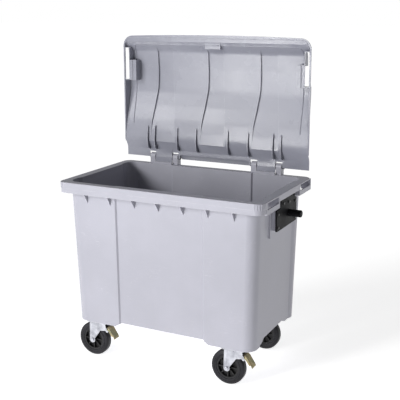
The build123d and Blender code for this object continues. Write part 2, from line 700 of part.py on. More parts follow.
def knuckle(hinge):
    """Barrel, the tongue that joins it to the lid, and the tab that meets the stop web."""
    low = hinge - KNUCKLE_HALF
    high = hinge + KNUCKLE_HALF
    seat = RIM_TOP + SEAT_GAP
    axis_h = HINGE_Z - seat
    under = [(-4, 22), (54, 22), (60, 19), (68, 19)]
    tongue = [*under, (24, axis_h), (0, axis_h + KNUCKLE_RADIUS), (-10, axis_h)]
    reach = HINGE_Z - RIM_TOP - SEAT_GAP - 2
    tab = [(0, axis_h - 14), (-reach, axis_h - 14), (-reach, axis_h - 21), (0, axis_h - 21)]
    with BuildPart() as barrel:
        add(slab(on_lid(tongue), low, high))
        add(slab(on_lid(tab), low, high))
        add(cross_bar(HINGE_Y, HINGE_Z, KNUCKLE_RADIUS, low, high))
    return barrel.part


def make_lid():
    """Moulded lid, drawn closed and then swung open."""
    seat = RIM_TOP + SEAT_GAP
    wall = LID_HALF - SIDE_LIP
    back = HINGE_Y - LID_REAR
    with BuildPart() as lid:
        add(dome_shell(wall, list, 0))
        add(slab(on_lid(REAR_EDGE), -wall, wall))
        plan = lid_plan(LID_HALF, LID_REAR, LID_FRONT, LID_CORNER)
        extrude(plan, amount=LIP_PLATE)
        add(dome_shell(wall - LID_SKIN, inside, LID_SKIN), mode=Mode.SUBTRACT)
        under_rear = [(104, -LID_SKIN), *RIM_CLEAR, (-20, -LID_SKIN)]
        add(slab(on_lid(under_rear), -LID_HALF - SKIN, LID_HALF + SKIN), mode=Mode.SUBTRACT)
        for side in (-1, 1):
            inner = side * (LID_HALF - GRIP_BAR - GRIP_SLOT_WIDTH)
            outer = side * (LID_HALF - GRIP_BAR)
            low = (min(inner, outer), HINGE_Y - GRIP_SLOT[1], seat - LIP_PLATE)
            high = (max(inner, outer), HINGE_Y - GRIP_SLOT[0], seat + 2 * LIP_PLATE)
            add(box_between(low, high), mode=Mode.SUBTRACT)
        low = (-ROLL_HALF, HINGE_Y - ROLL_FOOT[0], seat)
        high = (ROLL_HALF, back + SKIN, seat + LID_CORNER)
        add(box_between(low, high), mode=Mode.SUBTRACT)
        add(rear_roll())
        for side in (-1, 1):
            hinge = side * HINGE_X
            for start in (hinge - ARM_OUTER, hinge + ARM_INNER):
                low = (start - SKIN, HINGE_Y - ARM_RADIUS - 2 * SKIN, seat - SKIN)
                high = (start + ARM_OUTER - ARM_INNER + SKIN, back + SKIN, seat + LID_CORNER)
                add(box_between(low, high), mode=Mode.SUBTRACT)
            add(knuckle(hinge))
            low = hinge - KNUCKLE_HALF
            high = hinge + KNUCKLE_HALF
            bore = cross_bar(HINGE_Y, HINGE_Z, PIN_RADIUS + RUNNING_GAP, low, high)
            add(bore, mode=Mode.SUBTRACT)
            for spot in RIB_SPOTS:
                middle = side * spot
                add(slab(on_lid(RIB_LINE), middle - RIB / 2, middle + RIB / 2))
    axis = Axis((0, HINGE_Y, HINGE_Z), (1, 0, 0))
    return lid.part.rotate(axis, -OPEN_ANGLE)


def make_top_plate(x, y):
    """Castor's mounting plate, with four bolt holes and the kingpin's hole."""
    across, along, sheet = TOP_PLATE
    with BuildPart() as plate:
        with BuildSketch(Plane.XY.offset(TUB_FOOT - sheet)):
            with Locations((x, y)):
                RectangleRounded(across, along, 2 * BOLT_RADIUS)
                Circle(KINGPIN_RADIUS, mode=Mode.SUBTRACT)
            with Locations(*bolt_spots(x, y)):
                Circle(BOLT_RADIUS + 0.5, mode=Mode.SUBTRACT)
        extrude(amount=sheet)
    return plate.part


def make_bolts(x, y):
    """Four hexagon bolts from below, one solid each."""
    under = TUB_FOOT - TOP_PLATE[2]
    with BuildPart() as bolts:
        for spot in bolt_spots(x, y):
            add(hex_head(Plane((*spot, under), z_dir=(0, 0, -1)), BOLT_HEAD, BOLT_HEAD_HEIGHT))
            with BuildSketch(Plane((*spot, under))):
                Circle(BOLT_RADIUS)
            extrude(amount=TOP_PLATE[2] + BOLT_GRIP)
    return bolts.part


def crown_levels():
    """Heights of the crown's two faces."""
    top = TUB_FOOT - TOP_PLATE[2] - RACE_HEIGHT - RACE_GAP
    return top - FORK_SHEET, top


def make_race(x, y):
    """Upper race of the swivel bearing, fixed under the plate."""
    foot = TUB_FOOT - TOP_PLATE[2] - RACE_HEIGHT
    with BuildPart() as race:
        with BuildSketch(Plane.XY.offset(foot)):
            with Locations((x, y)):
                Circle(RACE_RADIUS)
                Circle(RACE_BORE, mode=Mode.SUBTRACT)
        extrude(amount=RACE_HEIGHT)
        chamfer(race.edges().group_by(Axis.Z)[0].sort_by(SortBy.LENGTH)[-1], RACE_HEIGHT / 3)
    return race.part


def make_kingpin(x, y):
    """Riveted kingpin: shank through plate and crown, head under the crown."""
    foot = crown_levels()[0] - RACE_GAP
    with BuildPart() as pin:
        with BuildSketch(Plane.XY.offset(foot)):
            with Locations((x, y)):
                Circle(KINGPIN_RADIUS)
        extrude(amount=TUB_FOOT - foot)
        with BuildSketch(Plane.XY.offset(foot)):
            with Locations((x, y)):
                Circle(KINGPIN_HEAD)
        extrude(amount=-KINGPIN_HEAD_HEIGHT)
    return pin.part


def leg_outline(x, braked):
    """Side of a fork leg, from the crown down to a rounded tip round the axle."""
    top = crown_levels()[1]
    axle = x - TRAIL
    z = WHEEL_RADIUS
    rear = axle - FORK_TIP
    points = [
        (rear, z),
        (x - FORK_BACK, top),
        (x + FORK_FRONT, top),
        (x + FORK_FRONT - 4, top - 22),
        (axle + FORK_TIP * 0.94, z + FORK_TIP * 0.5),
    ]
    with BuildSketch(Plane.XZ) as outline:
        Polygon(*points, (axle, z - 1), align=None)
        with Locations((axle, z)):
            Circle(FORK_TIP)
        if braked:
            ear_x = x + BRAKE_X
            ear = [(x, top), (ear_x - 4, top), (ear_x + 4, BRAKE_Z), (ear_x - 4, BRAKE_Z - BRAKE_EAR)]
            Polygon(*ear, (x, BRAKE_Z - 2 * BRAKE_EAR), align=None)
            with Locations((ear_x, BRAKE_Z)):
                Circle(BRAKE_EAR)
                Circle(BRAKE_PIN, mode=Mode.SUBTRACT)
        with Locations((axle, z)):
            Circle(AXLE_RADIUS, mode=Mode.SUBTRACT)
    return outline.sketch


def make_fork(x, y, braked):
    """Pressed fork: crown, two legs and a raised bead down the outside of each leg."""
    low, top = crown_levels()
    outside = FORK_INSIDE + FORK_SHEET
    axle = x - TRAIL
    with BuildPart() as fork:
        with BuildSketch(Plane.XY.offset(low)):
            middle = (FORK_FRONT - FORK_BACK) / 2
            with Locations((x + middle, y)):
                Rectangle(FORK_FRONT + FORK_BACK, 2 * outside)
            with Locations((x, y)):
                Circle(RACE_RADIUS)
                Circle(KINGPIN_RADIUS + RUNNING_GAP, mode=Mode.SUBTRACT)
        extrude(amount=top - low)
        leg = leg_outline(x, braked)
        for side in (-1, 1):
            start = y + side * FORK_INSIDE
            extrude(leg.moved(Location((0, start, 0))), amount=FORK_SHEET, dir=(0, side, 0))
            with BuildSketch(Plane.XZ.offset(-(start + side * FORK_SHEET))) as bead:
                with Locations((axle - 2, (top + WHEEL_RADIUS) / 2 + FORK_TIP / 2)):
                    SlotOverall(top - WHEEL_RADIUS - 3 * FORK_TIP / 2, 2 * FORK_BEAD, rotation=86)
            extrude(bead.sketch, amount=FORK_SHEET / 2, dir=(0, side, 0), taper=20)
    return fork.part


def make_axle(x, y):
    """Axle bolt with its head on the front side."""
    outside = FORK_INSIDE + FORK_SHEET
    axle = x - TRAIL
    near = Plane((axle, y - outside, WHEEL_RADIUS), z_dir=(0, -1, 0))
    with BuildPart() as bolt:
        add(hex_head(near, AXLE_HEAD, AXLE_HEAD_HEIGHT))
        with BuildSketch(near):
            Circle(AXLE_RADIUS)
        extrude(amount=-(2 * outside + NUT_HEIGHT + THREAD_OUT))
    return bolt.part


def make_nut(x, y):
    """Axle nut on the far side of the fork."""
    face = Plane((x - TRAIL, y + FORK_INSIDE + FORK_SHEET, WHEEL_RADIUS), z_dir=(0, 1, 0))
    with BuildPart() as nut:
        add(hex_head(face, AXLE_HEAD, NUT_HEIGHT))
        with BuildSketch(face):
            Circle(AXLE_RADIUS)
        extrude(amount=NUT_HEIGHT, mode=Mode.SUBTRACT)
    return nut.part


def wheel_plane(x, y):
    """Section plane of the wheel: first axis outwards from the axle, second along it."""
    return Plane((x - TRAIL, y, WHEEL_RADIUS), x_dir=(1, 0, 0), z_dir=(0, 0, -1))


def spin(x, y, points, radius):
    """Ring turned about the wheel's axle from a rounded outline of (r, along) points."""
    with BuildPart() as ring:
        with BuildSketch(wheel_plane(x, y)) as outline:
            Polygon(*points, align=None)
            if radius:
                fillet(outline.vertices().group_by(Axis.X)[-1], radius)
        revolve(axis=Axis((x - TRAIL, y, WHEEL_RADIUS), (0, 1, 0)))
    return ring.part


def make_bush(x, y):
    """Steel bush that turns on the axle, pressed into the hub."""
    bore = AXLE_RADIUS + RUNNING_GAP
    points = [(bore, -BUSH_HALF), (HUB_BORE, -BUSH_HALF), (HUB_BORE, BUSH_HALF), (bore, BUSH_HALF)]
    return spin(x, y, points, 0)


def make_hub(x, y):
    """Moulded hub: boss, web, felly and radial ribs on both faces."""
    seat = WHEEL_RADIUS - TYRE_DEPTH
    half = TYRE_WIDTH / 2 - 4
    felly = seat - 7
    profile = [
        (HUB_BORE, -HUB_HALF),
        (HUB_BOSS, -HUB_HALF),
        (HUB_BOSS + 2, -4),
        (felly - 2, -4),
        (felly, -half),
        (seat, -half),
        (seat, half),
        (felly, half),
        (felly - 2, 4),
        (HUB_BOSS + 2, 4),
        (HUB_BOSS, HUB_HALF),
        (HUB_BORE, HUB_HALF),
    ]
    middle = (HUB_BOSS + felly) / 2
    length = felly - HUB_BOSS + 4
    face = Plane((x - TRAIL, y + half - 3, WHEEL_RADIUS), x_dir=(1, 0, 0), z_dir=(0, -1, 0))
    with BuildPart() as hub:
        add(spin(x, y, profile, 0))
        with BuildSketch(face):
            with PolarLocations(middle, HUB_RIBS):
                Rectangle(length, 5)
        extrude(amount=2 * (half - 3))
    return hub.part


def make_tyre(x, y):
    """Solid rubber tyre with rounded shoulders and a raised ring on each sidewall."""
    seat = WHEEL_RADIUS - TYRE_DEPTH
    half = TYRE_WIDTH / 2
    outline = [
        (seat, 4 - half),
        (seat + 3, 4 - half),
        (seat + 5, 1 - half),
        (seat + 13, -half),
        (seat + 14, 2 - half),
        (seat + 16, 2 - half),
        (seat + 17, -half),
        (WHEEL_RADIUS, 4 - half),
    ]
    points = outline + [(r, -along) for r, along in reversed(outline)]
    return spin(x, y, points, TYRE_SHOULDER)


def make_brake_pin(x, y):
    """Pivot pin of the brake pedal, through both ears of the fork."""
    reach = FORK_INSIDE + FORK_SHEET + 2
    with BuildPart() as pin:
        with BuildSketch(Plane((x + BRAKE_X, y - reach, BRAKE_Z), z_dir=(0, 1, 0))):
            Circle(BRAKE_PIN)
        extrude(amount=2 * reach)
    return pin.part


def make_pedal(x, y):
    """Bent foot lever: a hooked tread plate on two cheeks that turn on the pin."""
    pivot = Plane((x + BRAKE_X, y - PEDAL_HALF, BRAKE_Z), x_dir=(1, 0, 0), z_dir=(0, -1, 0))
    with BuildPart() as pedal:
        with BuildSketch(pivot):
            Polygon(*PEDAL_TOP, *PEDAL_UNDER, align=None)
        extrude(amount=-2 * PEDAL_HALF)
        for start in (0, 2 * PEDAL_HALF - PEDAL_SHEET):
            with BuildSketch(pivot.offset(-start)):
                Polygon(*PEDAL_CHEEK, align=None)
                Circle(BRAKE_PIN + RUNNING_GAP, mode=Mode.SUBTRACT)
            extrude(amount=-PEDAL_SHEET)
    return pedal.part


def make_shoe(x, y):
    """Rubber-faced shoe that turns on the pin with the pedal, its face following the tyre."""
    pivot_x = x + BRAKE_X
    with BuildPart() as shoe:
        with BuildSketch(Plane.XZ.offset(-(y + SHOE_HALF))):
            Polygon(*[(pivot_x + i, BRAKE_Z + j) for i, j in SHOE_LINE], align=None)
            with Locations((x - TRAIL, WHEEL_RADIUS)):
                Circle(WHEEL_RADIUS + SHOE_GAP, mode=Mode.SUBTRACT)
            with Locations((pivot_x, BRAKE_Z)):
                Circle(BRAKE_PIN + RUNNING_GAP, mode=Mode.SUBTRACT)
        extrude(amount=2 * SHOE_HALF)
    return shoe.part


def finish(name, part):
    """Keeps a finished piece under its name until all are moved to the common origin."""
    part.label = name
    PIECES[name] = part


finish("tub", make_tub())
finish("lid", make_lid())
for name, side in (("left", -1), ("right", 1)):
    finish("trunnion_plate_" + name, make_trunnion_plate(side))
    finish("trunnion_pin_" + name, make_trunnion_pin(side))
    finish("trunnion_screws_" + name, make_plate_screws(side))
    finish("hinge_pin_" + name, make_hinge_pin(side))
    finish("hinge_cap_" + name, make_hinge_cap(side))
for name, x, y in castor_spots():
    braked = y == CASTOR_FRONT_Y
    finish("castor_plate_" + name, make_top_plate(x, y))
    finish("castor_bolts_" + name, make_bolts(x, y))
    finish("swivel_race_" + name, make_race(x, y))
    finish("kingpin_" + name, make_kingpin(x, y))
    finish("fork_" + name, make_fork(x, y, braked))
    finish("axle_" + name, make_axle(x, y))
    finish("axle_nut_" + name, make_nut(x, y))
    finish("wheel_bush_" + name, make_bush(x, y))
    finish("wheel_hub_" + name, make_hub(x, y))
    finish("tyre_" + name, make_tyre(x, y))
    if braked:
        finish("brake_pedal_" + name, make_pedal(x, y))
        finish("brake_shoe_" + name, make_shoe(x, y))
        finish("brake_pin_" + name, make_brake_pin(x, y))

# The open lid reaches further back than the rim reaches forward.
ORIGIN_Y = (PIECES["lid"].bounding_box().max.Y - RIM_DEPTH / 2) / 2

os.makedirs("parts", exist_ok=True)
for name, piece in PIECES.items():
    placed = piece.moved(Location((0, -ORIGIN_Y, 0)))
    placed.label = name
    export_step(placed, "parts/" + name + ".step")
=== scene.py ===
"""Looks of the four-wheeled refuse container: mouldings, castors, finishes, light and camera."""
import json
from math import cos, radians, sin

import bmesh
import bpy
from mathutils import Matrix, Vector
from mathutils.bvhtree import BVHTree


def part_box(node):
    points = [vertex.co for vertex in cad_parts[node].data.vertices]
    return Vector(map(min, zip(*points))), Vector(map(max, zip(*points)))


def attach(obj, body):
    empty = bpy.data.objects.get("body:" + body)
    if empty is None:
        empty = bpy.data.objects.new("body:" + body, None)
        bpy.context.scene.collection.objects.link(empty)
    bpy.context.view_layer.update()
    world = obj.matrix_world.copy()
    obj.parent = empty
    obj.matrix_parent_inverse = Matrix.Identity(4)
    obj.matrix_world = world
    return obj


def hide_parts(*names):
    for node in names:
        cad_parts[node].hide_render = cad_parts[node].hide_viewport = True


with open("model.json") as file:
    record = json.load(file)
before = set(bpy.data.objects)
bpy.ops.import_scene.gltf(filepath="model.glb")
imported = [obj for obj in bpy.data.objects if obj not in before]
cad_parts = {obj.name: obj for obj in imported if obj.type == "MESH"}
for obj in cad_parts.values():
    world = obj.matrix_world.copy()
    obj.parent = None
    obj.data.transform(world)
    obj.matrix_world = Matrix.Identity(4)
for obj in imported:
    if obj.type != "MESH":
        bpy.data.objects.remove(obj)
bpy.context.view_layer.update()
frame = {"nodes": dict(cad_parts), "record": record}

BODIES = frame["record"]["behaviour"]["bodies"]
BODY_OF = {node: body for body, nodes in BODIES.items() for node in nodes}
SLOT_OF = {part["node"]: part["material_slot"] for part in frame["record"]["subparts"]}


# ---- node helpers ---------------------------------------------------------------------------
def new_group(name, inputs, outputs):
    """Empty shader group with (kind, name, default) inputs and (kind, name) outputs."""
    group = bpy.data.node_groups.new(name, "ShaderNodeTree")
    for kind, label, value in inputs:
        socket = group.interface.new_socket(label, in_out="INPUT", socket_type="NodeSocket" + kind)
        socket.default_value = value
    for kind, label in outputs:
        group.interface.new_socket(label, in_out="OUTPUT", socket_type="NodeSocket" + kind)
    return group, group.nodes.new("NodeGroupInput"), group.nodes.new("NodeGroupOutput")


def fill(tree, socket, value):
    """Links a socket to the value if that is a socket too, or else sets it."""
    if isinstance(value, bpy.types.NodeSocket):
        tree.links.new(value, socket)
    else:
        socket.default_value = value


def add_node(tree, kind, settings=None, **links):
    """New node; settings are its properties, links fill its sockets by name or position."""
    node = tree.nodes.new("ShaderNode" + kind)
    for key, value in (settings or {}).items():
        setattr(node, key, value)
    for key, value in links.items():
        by_position = key[0] == "i" and key[1:].isdigit()
        fill(tree, node.inputs[int(key[1:]) if by_position else key.replace("_", " ")], value)
    return node


def math_node(tree, operation, first, second=0.5, third=0.5, clamp=False):
    settings = {"operation": operation, "use_clamp": clamp}
    return add_node(tree, "Math", settings, i0=first, i1=second, i2=third).outputs[0]


def mix_colour(tree, share, first, second):
    node = tree.nodes.new("ShaderNodeMix")
    node.data_type = "RGBA"
    for place, value in ((0, share), (6, first), (7, second)):  # Factor, A and B of a colour mix
        fill(tree, node.inputs[place], value)
    return node.outputs[2]


def ramp(tree, value, low, high):
    """Smooth step of a value between low and high."""
    node = add_node(tree, "MapRange", {"interpolation_type": "SMOOTHSTEP"}, Value=value)
    node.inputs["From Min"].default_value = low
    node.inputs["From Max"].default_value = high
    return node.outputs[0]


def place_group(tree, group, **values):
    """Outputs of a shader group placed in a tree with its own values."""
    node = tree.nodes.new("ShaderNodeGroup")
    node.node_tree = group
    for key, value in values.items():
        fill(tree, node.inputs[key.replace("_", " ")], value)
    return node.outputs


# ---- effects shared by the finishes ---------------------------------------------------------
def make_cloudy_colour():
    """Broad, soft variation of a moulded or plated surface between two colours."""
    inputs = [
        ("Color", "Colour", (0.5, 0.5, 0.5, 1)),
        ("Color", "Deeper", (0.4, 0.4, 0.4, 1)),
        ("Float", "Scale", 3.0),
    ]
    group, entry, leave = new_group("cloudy_colour", inputs, [("Color", "Colour"), ("Float", "Cloud")])
    place = add_node(group, "TexCoord").outputs["Object"]
    scale = entry.outputs["Scale"]
    broad = add_node(group, "TexNoise", Vector=place, Scale=scale, Detail=3.0, Roughness=0.55)
    fine_scale = math_node(group, "MULTIPLY", scale, 14.0)
    fine = add_node(group, "TexNoise", Vector=place, Scale=fine_scale, Detail=4.0, Roughness=0.6)
    soft = ramp(group, broad.outputs[0], 0.32, 0.68)
    speck = math_node(group, "MULTIPLY_ADD", fine.outputs[0], 0.35, -0.175)
    cloud = math_node(group, "ADD", soft, speck, clamp=True)
    mixed = mix_colour(group, cloud, entry.outputs["Deeper"], entry.outputs["Colour"])
    group.links.new(mixed, leave.inputs["Colour"])
    group.links.new(cloud, leave.inputs["Cloud"])
    return group


def make_fine_grain():
    """Height of a fine grain with a slower ripple below it."""
    inputs = [("Float", "Scale", 900.0), ("Float", "Ripple Scale", 12.0), ("Float", "Ripple", 0.5)]
    group, entry, leave = new_group("fine_grain", inputs, [("Float", "Height")])
    place = add_node(group, "TexCoord").outputs["Object"]
    scale = entry.outputs["Scale"]
    grain = add_node(group, "TexNoise", Vector=place, Scale=scale, Detail=2.0, Roughness=0.5)
    ripple = add_node(group, "TexNoise", Vector=place, Scale=entry.outputs["Ripple Scale"], Detail=1.0)
    slow = math_node(group, "MULTIPLY", ripple.outputs[0], entry.outputs["Ripple"])
    group.links.new(math_node(group, "ADD", grain.outputs[0], slow), leave.inputs["Height"])
    return group


def make_rubbed_edges():
    """Mask of the corners that handling has polished."""
    inputs = [("Float", "Amount", 0.5), ("Float", "Scale", 25.0), ("Float", "Width", 0.003)]
    group, entry, leave = new_group("rubbed_edges", inputs, [("Float", "Mask")])
    settings = {"inside": True, "only_local": True, "samples": 6}
    within = add_node(group, "AmbientOcclusion", settings, Distance=entry.outputs["Width"])
    sharp = math_node(group, "SUBTRACT", 1.0, ramp(group, within.outputs["AO"], 0.55, 0.95))
    place = add_node(group, "TexCoord").outputs["Object"]
    scale = entry.outputs["Scale"]
    patchy = add_node(group, "TexNoise", Vector=place, Scale=scale, Detail=5.0, Roughness=0.65)
    worn = math_node(group, "MULTIPLY", sharp, ramp(group, patchy.outputs[0], 0.35, 0.6))
    mask = math_node(group, "MULTIPLY", worn, entry.outputs["Amount"], clamp=True)
    group.links.new(mask, leave.inputs["Mask"])
    return group


def make_road_dust():
    """Mask of dust: strongest at a height Foot, gone at Top, and in faint upright streaks."""
    inputs = [("Float", "Foot", 0.0), ("Float", "Top", 1.0), ("Float", "Amount", 0.3)]
    group, entry, leave = new_group("road_dust", inputs, [("Float", "Mask")])
    place = add_node(group, "TexCoord").outputs["Object"]
    height = add_node(group, "SeparateXYZ", Vector=place).outputs["Z"]
    fall = add_node(group, "MapRange", Value=height)
    group.links.new(entry.outputs["Foot"], fall.inputs["From Min"])
    group.links.new(entry.outputs["Top"], fall.inputs["From Max"])
    fall.inputs["To Min"].default_value = 1.0
    fall.inputs["To Max"].default_value = 0.0
    stretched = add_node(group, "Mapping", Vector=place, Scale=(26.0, 26.0, 1.6)).outputs[0]
    streak = add_node(group, "TexNoise", Vector=stretched, Scale=1.0, Detail=4.0, Roughness=0.6)
    spots = add_node(group, "TexNoise", Vector=place, Scale=60.0, Detail=3.0)
    streaky = ramp(group, streak.outputs[0], 0.35, 0.75)
    spotty = ramp(group, spots.outputs[0], 0.3, 0.7)
    pattern = math_node(group, "MULTIPLY", streaky, spotty)
    lifted = math_node(group, "MULTIPLY_ADD", pattern, 0.75, 0.25)
    low = math_node(group, "MULTIPLY", fall.outputs[0], lifted)
    mask = math_node(group, "MULTIPLY", low, entry.outputs["Amount"], clamp=True)
    group.links.new(mask, leave.inputs["Mask"])
    return group


def make_scuffs():
    """Mask of thin random scratches."""
    inputs = [("Float", "Scale", 9.0), ("Float", "Amount", 0.5)]
    group, entry, leave = new_group("scuffs", inputs, [("Float", "Mask")])
    place = add_node(group, "TexCoord").outputs["Object"]
    bent = add_node(group, "TexNoise", Vector=place, Scale=3.0, Detail=2.0)
    warped = mix_colour(group, 0.12, place, bent.outputs["Color"])
    drawn_out = {"Rotation": (0.4, 0.9, 0.3), "Scale": (1.0, 14.0, 14.0)}
    turned = add_node(group, "Mapping", Vector=warped, **drawn_out).outputs[0]
    cells = {"feature": "DISTANCE_TO_EDGE"}
    lines = add_node(group, "TexVoronoi", cells, Vector=turned, Scale=entry.outputs["Scale"])
    thin = math_node(group, "SUBTRACT", 1.0, ramp(group, lines.outputs["Distance"], 0.0, 0.018))
    where = add_node(group, "TexNoise", Vector=place, Scale=7.0, Detail=3.0)
    sparse = math_node(group, "MULTIPLY", thin, ramp(group, where.outputs[0], 0.52, 0.7))
    mask = math_node(group, "MULTIPLY", sparse, entry.outputs["Amount"], clamp=True)
    group.links.new(mask, leave.inputs["Mask"])
    return group


CLOUDY = make_cloudy_colour()
GRAIN = make_fine_grain()
EDGES = make_rubbed_edges()
DUST = make_road_dust()
SCUFFS = make_scuffs()


# ---- finishes --------------------------------------------------------------------------------
def blank_finish(name, metallic, coat, specular):
    """Material with a Principled shader, and its tree and shader."""
    finish = bpy.data.materials.new(name)
    finish.use_nodes = True
    tree = finish.node_tree
    shader = tree.nodes["Principled BSDF"]
    shader.inputs["Metallic"].default_value = metallic
    shader.inputs["Coat Weight"].default_value = coat
    shader.inputs["Specular IOR Level"].default_value = specular
    return finish, tree, shader


def drive_roughness(tree, shader, mask, low, high):
    node = add_node(tree, "MapRange", Value=mask)
    node.inputs["To Min"].default_value = low
    node.inputs["To Max"].default_value = high
    tree.links.new(node.outputs[0], shader.inputs["Roughness"])


def set_bump(tree, shader, height, depth, strength):
    bump = add_node(tree, "Bump", Height=height, Distance=depth, Strength=strength)
    tree.links.new(bump.outputs[0], shader.inputs["Normal"])


def moulded_plastic(name, colour, deeper, rubbed, roughness, dust_top, dust):
    """Polyethylene moulding: soft clouds, fine grain, polished corners, scuffs and low dust."""
    finish, tree, shader = blank_finish(name, 0.0, 0.0, 0.45)
    base = place_group(tree, CLOUDY, Colour=colour, Deeper=deeper, Scale=2.2)
    worn = place_group(tree, EDGES, Amount=0.6, Scale=18.0, Width=0.0035)["Mask"]
    scratched = place_group(tree, SCUFFS, Scale=7.0, Amount=0.35)["Mask"]
    dusty = place_group(tree, DUST, Foot=0.15, Top=dust_top, Amount=dust)["Mask"]
    pale = mix_colour(tree, worn, base["Colour"], rubbed)
    pale = mix_colour(tree, scratched, pale, rubbed)
    tree.links.new(mix_colour(tree, dusty, pale, (0.34, 0.31, 0.27, 1)), shader.inputs["Base Color"])
    drive_roughness(tree, shader, math_node(tree, "ADD", base["Cloud"], dusty, clamp=True), *roughness)
    height = place_group(tree, GRAIN, Scale=700.0, Ripple_Scale=9.0, Ripple=3.0)["Height"]
    set_bump(tree, shader, height, 0.0006, 0.35)
    return finish


def black_finish(name, colour, grain_scale, roughness, depth, specular=0.4):
    """Black plastic, paint or rubber, with its grain, rubbed corners and settled dust."""
    finish, tree, shader = blank_finish(name, 0.0, 0.0, specular)
    lighter = tuple(1.6 * c + 0.002 for c in colour[:3]) + (1,)
    base = place_group(tree, CLOUDY, Colour=lighter, Deeper=colour, Scale=9.0)
    worn = place_group(tree, EDGES, Amount=0.35, Scale=60.0, Width=0.002)["Mask"]
    dusty = place_group(tree, DUST, Foot=-0.05, Top=0.3, Amount=0.12)["Mask"]
    pale = mix_colour(tree, worn, base["Colour"], (0.13, 0.13, 0.135, 1))
    tree.links.new(mix_colour(tree, dusty, pale, (0.09, 0.08, 0.07, 1)), shader.inputs["Base Color"])
    drive_roughness(tree, shader, base["Cloud"], *roughness)
    height = place_group(tree, GRAIN, Scale=grain_scale, Ripple_Scale=40.0, Ripple=0.6)["Height"]
    set_bump(tree, shader, height, depth, 0.5)
    return finish


def plated_steel(name, colour, deeper, roughness, tint=None):
    """Zinc plate: cloudy brightness, fine rolling marks and a passivation tint."""
    finish, tree, shader = blank_finish(name, 1.0, 0.0, 0.5)
    base = place_group(tree, CLOUDY, Colour=colour, Deeper=deeper, Scale=22.0)
    shade = base["Colour"]
    if tint:
        place = add_node(tree, "TexCoord").outputs["Object"]
        patches = add_node(tree, "TexNoise", Vector=place, Scale=38.0, Detail=3.0, Roughness=0.55)
        shade = mix_colour(tree, ramp(tree, patches.outputs[0], 0.42, 0.62), shade, tint)
    worn = place_group(tree, EDGES, Amount=0.5, Scale=90.0, Width=0.0015)["Mask"]
    dusty = place_group(tree, DUST, Foot=0.05, Top=0.3, Amount=0.12)["Mask"]
    bright = mix_colour(tree, worn, shade, (0.9, 0.9, 0.92, 1))
    tree.links.new(mix_colour(tree, dusty, bright, (0.3, 0.27, 0.23, 1)), shader.inputs["Base Color"])
    drive_roughness(tree, shader, base["Cloud"], *roughness)
    height = place_group(tree, GRAIN, Scale=1400.0, Ripple_Scale=90.0, Ripple=0.8)["Height"]
    set_bump(tree, shader, height, 0.0002, 0.5)
    return finish


FINISHES = {
    "tub_plastic": moulded_plastic(
        "light_grey_polyethylene",
        (0.425, 0.425, 0.485, 1),
        (0.39, 0.39, 0.445, 1),
        (0.66, 0.66, 0.70, 1),
        (0.34, 0.46),
        0.75,
        0.10,
    ),
    "lid_plastic": moulded_plastic(
        "mid_grey_polyethylene",
        (0.31, 0.315, 0.37, 1),
        (0.27, 0.275, 0.325, 1),
        (0.50, 0.505, 0.55, 1),
        (0.18, 0.30),
        0.5,
        0.0,
    ),
    "black_painted_steel": black_finish(
        "black_powder_coat", (0.003, 0.003, 0.004, 1), 900.0, (0.42, 0.55), 0.0004, 0.1
    ),
    "dark_screws": black_finish(
        "blackened_screws", (0.03, 0.03, 0.032, 1), 1500.0, (0.30, 0.42), 0.0002, 0.6
    ),
    "black_plastic": black_finish(
        "black_hinge_plastic", (0.010, 0.010, 0.011, 1), 1100.0, (0.38, 0.5), 0.0003
    ),
    "hub_plastic": black_finish(
        "black_hub_plastic", (0.005, 0.005, 0.006, 1), 1000.0, (0.40, 0.55), 0.0003, 0.3
    ),
    "tyre_rubber": black_finish(
        "black_tyre_rubber", (0.009, 0.009, 0.012, 1), 600.0, (0.36, 0.52), 0.0006, 0.25
    ),
    "zinc_plate": plated_steel(
        "bright_zinc", (0.60, 0.61, 0.66, 1), (0.38, 0.39, 0.43, 1), (0.26, 0.42)
    ),
    "yellow_zinc": plated_steel(
        "yellow_zinc",
        (0.55, 0.46, 0.27, 1),
        (0.27, 0.21, 0.10, 1),
        (0.26, 0.40),
        (0.30, 0.29, 0.17, 1),
    ),
}


# ---- mouldings: the CAD shapes with their edges rounded -------------------------------------
ROUND_SEGMENTS = 2
SHARP_ANGLE = radians(28.0)  # edges that turn by more than this are rounded
FLAT_ANGLE = radians(0.05)  # faces that turn by less than this are joined
WELD = 1e-5


def rounded_twin(node, suffix, width, curved=False):
    """A twin of a CAD node with its sharp edges rounded, which is shown in its place."""
    mesh = frame["nodes"][node].data.copy()
    work = bmesh.new()
    work.from_mesh(mesh)
    bmesh.ops.remove_doubles(work, verts=work.verts, dist=WELD)
    bmesh.ops.dissolve_limit(work, angle_limit=FLAT_ANGLE, verts=work.verts, edges=work.edges)
    work.to_mesh(mesh)
    work.free()
    for name in [a.name for a in mesh.attributes if "normal" in a.name]:
        mesh.attributes.remove(mesh.attributes[name])
    piece = bpy.data.objects.new(node + suffix, mesh)
    bpy.context.scene.collection.objects.link(piece)
    bevel = piece.modifiers.new("rounded", "BEVEL")
    bevel.width = width
    bevel.segments = ROUND_SEGMENTS
    bevel.limit_method = "ANGLE"
    bevel.angle_limit = SHARP_ANGLE
    bevel.use_clamp_overlap = True
    bevel.miter_outer = "MITER_ARC"
    bevel.harden_normals = curved
    mesh.shade_smooth()
    if not curved:
        smooth = piece.modifiers.new("even_shading", "WEIGHTED_NORMAL")
        smooth.keep_sharp = True
    apply_modifiers(piece)
    piece.data.materials.clear()
    piece.data.materials.append(FINISHES[SLOT_OF[node]])
    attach(piece, BODY_OF[node])
    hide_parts(node)


